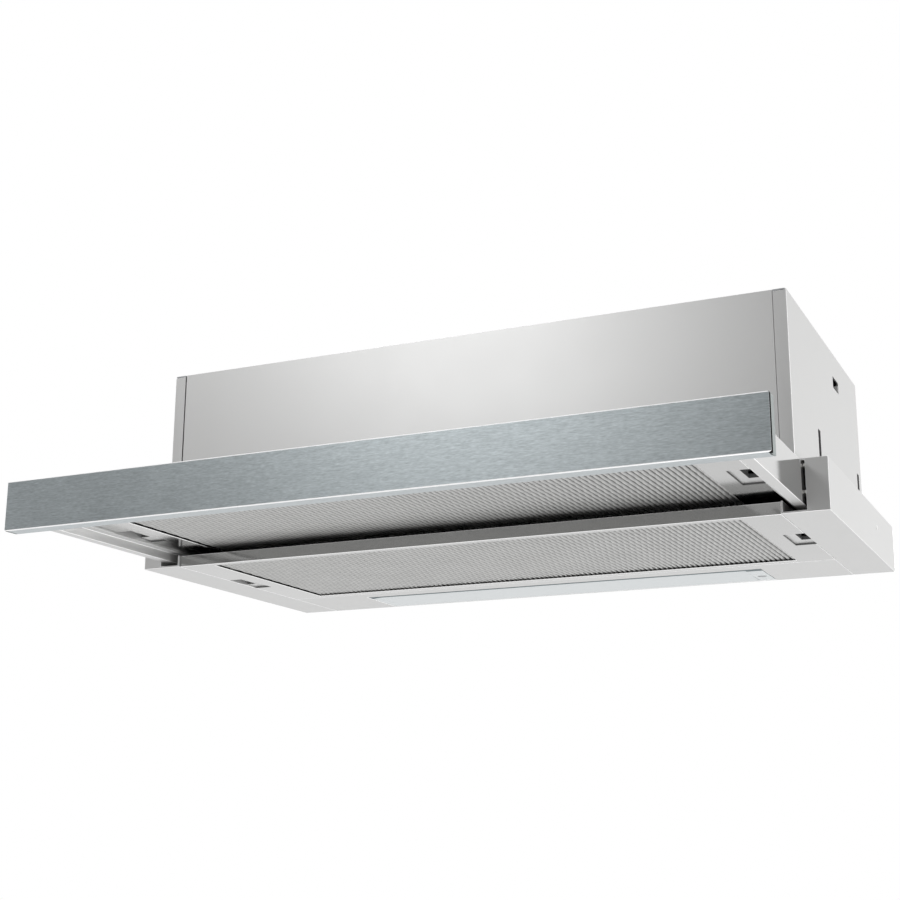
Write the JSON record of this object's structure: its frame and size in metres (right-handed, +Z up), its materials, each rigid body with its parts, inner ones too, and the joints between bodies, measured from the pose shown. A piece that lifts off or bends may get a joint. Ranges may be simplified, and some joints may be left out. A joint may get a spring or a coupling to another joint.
{
  "type": "pull out range hood",
  "caption": "Slim pull out range hood: a box with twin blowers and a top duct collar over a tray, and a drawer with a brushed steel fascia and a grease filter, shown pulled out.",
  "frame": {"origin": "middle of the footprint of the hood with its drawer pulled out, on the plane of its underside", "axes": "+X to the hood's right as a cook faces it, +Y to the wall behind it, +Z up to the duct"},
  "size_m": [0.598, 0.456, 0.201],
  "materials": {
    "brushed_stainless": "brushed, satin",
    "fascia_ends": "satin",
    "painted_silver": "satin paint",
    "box_panels": "satin paint",
    "galvanised_steel": "galvanised",
    "filter_frame": "satin anodised",
    "filter_mesh": "bright expanded metal",
    "latch_metal": "satin",
    "glide_plastic": "satin",
    "lens": "frosted, translucent",
    "white_plastic": "satin",
    "lamp_board": "matt",
    "dark_plastic": "fine grain",
    "flap_plastic": "satin",
    "motor_steel": "zinc",
    "shaft_steel": "ground",
    "screw_zinc": "zinc plated",
    "circuit_green": "solder mask",
    "capacitor_sleeve": "satin",
    "switch_red": "satin"
  },
  "bodies": {
    "root": {"guide_left": "painted_silver", "guide_right": "painted_silver", "rear_panel": "painted_silver", "side_panel_left": "box_panels", "side_panel_right": "box_panels", "front_panel": "box_panels", "back_panel": "box_panels", "top_panel": "galvanised_steel", "glide_strips": "glide_plastic", "body_filter_frame": "filter_frame", "body_filter_mesh": "filter_mesh", "lamp_housing": "white_plastic", "lamp_lens": "lens", "led_board": "lamp_board", "scroll_left": "dark_plastic", "scroll_right": "dark_plastic", "inlet_ring_left": "dark_plastic", "inlet_ring_right": "dark_plastic", "motor_left": "motor_steel", "motor_right": "motor_steel", "plenum": "dark_plastic", "outlet_collar": "dark_plastic", "control_box": "dark_plastic", "control_box_lid": "dark_plastic", "circuit_board": "circuit_green", "capacitors": "capacitor_sleeve", "cable_gland": "dark_plastic", "drawer_switch": "dark_plastic", "panel_screws": "screw_zinc", "blower_screws": "screw_zinc", "collar_screws": "screw_zinc", "body_spring_left": "shaft_steel", "body_spring_right": "shaft_steel"},
    "drawer": {"fascia": "brushed_stainless", "fascia_caps": "fascia_ends", "front_bar": "painted_silver", "rail_left": "painted_silver", "rail_right": "painted_silver", "rear_crossbar": "galvanised_steel", "drawer_top": "galvanised_steel", "glide_shoes": "glide_plastic", "drawer_filter_frame": "filter_frame", "drawer_filter_mesh": "filter_mesh", "drawer_spring_left": "shaft_steel", "drawer_spring_right": "shaft_steel"},
    "blower_wheel_left": {"impeller_left": "dark_plastic", "shaft_left": "shaft_steel"},
    "blower_wheel_right": {"impeller_right": "dark_plastic", "shaft_right": "shaft_steel"},
    "flap_front": {"flap_front": "flap_plastic"},
    "flap_rear": {"flap_rear": "flap_plastic"},
    "lens_catch": {"lens_catch": "white_plastic"},
    "switch_plunger": {"switch_plunger": "switch_red"},
    "body_latch_left": {"body_latch_left": "latch_metal"},
    "body_latch_right": {"body_latch_right": "latch_metal"},
    "drawer_latch_left": {"drawer_latch_left": "latch_metal"},
    "drawer_latch_right": {"drawer_latch_right": "latch_metal"},
    "light_slider": {"light_slider": "white_plastic"},
    "speed_slider": {"speed_slider": "white_plastic"}
  },
  "joints": [
    {"name": "drawer_slide", "type": "slide", "parent": "root", "child": "drawer", "axis": [0, 1, 0], "range_m": [0, 0.1645]},
    {"name": "blower_left_spin", "type": "hinge", "parent": "root", "child": "blower_wheel_left", "pos_m": [-0.16, 0.078, 0.12], "axis": [0, 0, 1], "continuous": true},
    {"name": "blower_right_spin", "type": "hinge", "parent": "root", "child": "blower_wheel_right", "pos_m": [0.16, 0.078, 0.12], "axis": [0, 0, 1], "continuous": true},
    {"name": "flap_front_hinge", "type": "hinge", "parent": "root", "child": "flap_front", "pos_m": [0, 0.086, 0.1847], "axis": [-1, 0, 0], "range_deg": [0, 80]},
    {"name": "flap_rear_hinge", "type": "hinge", "parent": "root", "child": "flap_rear", "pos_m": [0, 0.094, 0.1847], "axis": [1, 0, 0], "range_deg": [0, 80]},
    {"name": "lens_catch_turn", "type": "hinge", "parent": "root", "child": "lens_catch", "pos_m": [0.186, 0.20421, 0.003], "axis": [0, 0, 1], "range_deg": [0, 90]},
    {"name": "plunger_press", "type": "slide", "parent": "root", "child": "switch_plunger", "axis": [0, 1, 0], "range_m": [0, 0.0015], "stiffness_N_per_m": 200},
    {"name": "body_latch_left_slide", "type": "slide", "parent": "root", "child": "body_latch_left", "axis": [1, 0, 0], "range_m": [0, 0.005], "stiffness_N_per_m": 300, "deforming": ["body_spring_left"]},
    {"name": "body_latch_right_slide", "type": "slide", "parent": "root", "child": "body_latch_right", "axis": [-1, 0, 0], "range_m": [0, 0.005], "stiffness_N_per_m": 300, "deforming": ["body_spring_right"]},
    {"name": "drawer_latch_left_slide", "type": "slide", "parent": "drawer", "child": "drawer_latch_left", "axis": [1, 0, 0], "range_m": [0, 0.005], "stiffness_N_per_m": 300, "deforming": ["drawer_spring_left"]},
    {"name": "drawer_latch_right_slide", "type": "slide", "parent": "drawer", "child": "drawer_latch_right", "axis": [-1, 0, 0], "range_m": [0, 0.005], "stiffness_N_per_m": 300, "deforming": ["drawer_spring_right"]},
    {"name": "light_slider_slide", "type": "slide", "parent": "drawer", "child": "light_slider", "axis": [1, 0, 0], "range_m": [0, 0.008]},
    {"name": "speed_slider_slide", "type": "slide", "parent": "drawer", "child": "speed_slider", "axis": [1, 0, 0], "range_m": [0, 0.018]}
  ]
}
